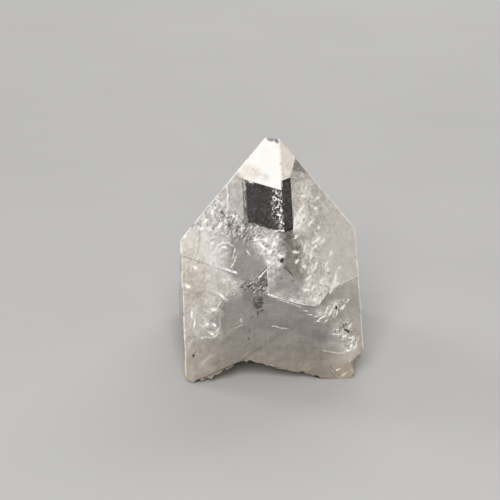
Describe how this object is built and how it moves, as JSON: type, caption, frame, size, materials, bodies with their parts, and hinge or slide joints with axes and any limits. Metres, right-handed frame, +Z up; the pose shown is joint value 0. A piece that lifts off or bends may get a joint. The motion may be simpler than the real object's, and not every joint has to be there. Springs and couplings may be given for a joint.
{
  "type": "apophyllite point",
  "caption": "Natural square crystal with a four-sided pyramid top, a chipped tip and a rough broken base that it stands on.",
  "frame": {"origin": "middle of the crystal's square outline, on the surface that it stands on", "axes": "+Z up along the crystal's main axis; -Y towards the side with the upright ridge between the two front pyramid faces; +X to the right as seen from there"},
  "size_m": [0.0298, 0.0298, 0.0374],
  "materials": {
    "crystal": "clear to milky, vitreous, with a matt broken base"
  },
  "bodies": {
    "root": {"crystal": "crystal"}
  },
  "joints": []
}
